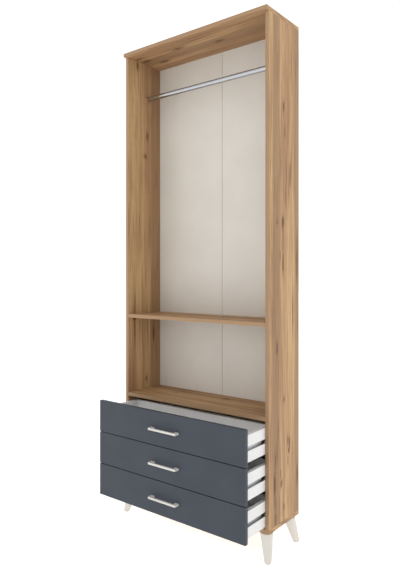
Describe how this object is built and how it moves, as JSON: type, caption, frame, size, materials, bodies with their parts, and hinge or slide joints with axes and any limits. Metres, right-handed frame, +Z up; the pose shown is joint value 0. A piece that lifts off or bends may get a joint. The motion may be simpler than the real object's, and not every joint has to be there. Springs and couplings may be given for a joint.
{
  "type": "wardrobe with drawers",
  "caption": "Tall open-fronted wardrobe with a hanging rail, a shelf, pull-out drawers on ball-bearing runners and tapered splayed legs.",
  "frame": {"origin": "floor level, under the middle of the width and of the depth with the drawers part open", "axes": "+Z up, +X to the right seen from the front, +Y from the front to the back"},
  "size_m": [0.7838, 0.4202, 2.108],
  "materials": {
    "oak_board": "knotty oak decor, matt with a fine pore",
    "back_sheet": "plain warm grey coated sheet, matt",
    "back_strip": "plain warm grey",
    "graphite_board": "plain blue-grey coated board, matt",
    "white_board": "plain white coated board, matt",
    "leg_white": "ivory white, satin",
    "handle_white": "ivory white paint, satin",
    "glide_plastic": "pale grey",
    "rail_chrome": "polished",
    "brown_plastic": "wood brown",
    "fastener_steel": "zinc plated",
    "runner_steel": "zinc plated",
    "cage_plastic": "black",
    "beech": "plain beech"
  },
  "bodies": {
    "carcass": {"side_panel_left": "oak_board", "side_panel_right": "oak_board", "top_panel": "oak_board", "bottom_panel": "oak_board", "drawer_deck": "oak_board", "middle_shelf": "oak_board", "back_panel_left": "back_sheet", "back_panel_right": "back_sheet", "back_joint_strip": "back_strip", "hanging_rail": "rail_chrome", "rail_socket_left": "brown_plastic", "rail_socket_right": "brown_plastic", "rail_socket_screws": "fastener_steel", "leg_front_left": "leg_white", "leg_front_right": "leg_white", "leg_rear_left": "leg_white", "leg_rear_right": "leg_white", "leg_glides": "glide_plastic", "leg_plates": "fastener_steel", "leg_plate_screws": "fastener_steel", "shelf_pins": "fastener_steel", "carcass_dowels": "beech", "carcass_screws": "fastener_steel", "deck_cam_fasteners": "fastener_steel", "cabinet_runner_screws": "fastener_steel", "upper_drawer_cabinet_runners": "runner_steel", "middle_drawer_cabinet_runners": "runner_steel", "lower_drawer_cabinet_runners": "runner_steel"},
    "upper_drawer": {"upper_drawer_front": "graphite_board", "upper_drawer_side_left": "white_board", "upper_drawer_side_right": "white_board", "upper_drawer_back": "white_board", "upper_drawer_bottom": "white_board", "upper_drawer_handle": "handle_white", "upper_drawer_slide_left": "runner_steel", "upper_drawer_slide_right": "runner_steel", "upper_drawer_screws": "fastener_steel"},
    "upper_drawer_cages": {"upper_drawer_ball_cages": "cage_plastic"},
    "middle_drawer": {"middle_drawer_front": "graphite_board", "middle_drawer_side_left": "white_board", "middle_drawer_side_right": "white_board", "middle_drawer_back": "white_board", "middle_drawer_bottom": "white_board", "middle_drawer_handle": "handle_white", "middle_drawer_slide_left": "runner_steel", "middle_drawer_slide_right": "runner_steel", "middle_drawer_screws": "fastener_steel"},
    "middle_drawer_cages": {"middle_drawer_ball_cages": "cage_plastic"},
    "lower_drawer": {"lower_drawer_front": "graphite_board", "lower_drawer_side_left": "white_board", "lower_drawer_side_right": "white_board", "lower_drawer_back": "white_board", "lower_drawer_bottom": "white_board", "lower_drawer_handle": "handle_white", "lower_drawer_slide_left": "runner_steel", "lower_drawer_slide_right": "runner_steel", "lower_drawer_screws": "fastener_steel"},
    "lower_drawer_cages": {"lower_drawer_ball_cages": "cage_plastic"}
  },
  "joints": [
    {"name": "upper_drawer_slide", "type": "slide", "parent": "carcass", "child": "upper_drawer", "axis": [0, -1, 0], "range_m": [-0.142, 0.01]},
    {"name": "upper_drawer_cages_slide", "type": "slide", "parent": "carcass", "child": "upper_drawer_cages", "axis": [0, -1, 0], "range_m": [-0.071, 0.005]},
    {"name": "middle_drawer_slide", "type": "slide", "parent": "carcass", "child": "middle_drawer", "axis": [0, -1, 0], "range_m": [-0.142, 0.01]},
    {"name": "middle_drawer_cages_slide", "type": "slide", "parent": "carcass", "child": "middle_drawer_cages", "axis": [0, -1, 0], "range_m": [-0.071, 0.005]},
    {"name": "lower_drawer_slide", "type": "slide", "parent": "carcass", "child": "lower_drawer", "axis": [0, -1, 0], "range_m": [-0.142, 0.01]},
    {"name": "lower_drawer_cages_slide", "type": "slide", "parent": "carcass", "child": "lower_drawer_cages", "axis": [0, -1, 0], "range_m": [-0.071, 0.005]}
  ],
  "couplings": [
    {"joint": "upper_drawer_cages_slide", "follows": "upper_drawer_slide", "ratio": 0.5},
    {"joint": "middle_drawer_cages_slide", "follows": "middle_drawer_slide", "ratio": 0.5},
    {"joint": "lower_drawer_cages_slide", "follows": "lower_drawer_slide", "ratio": 0.5}
  ]
}
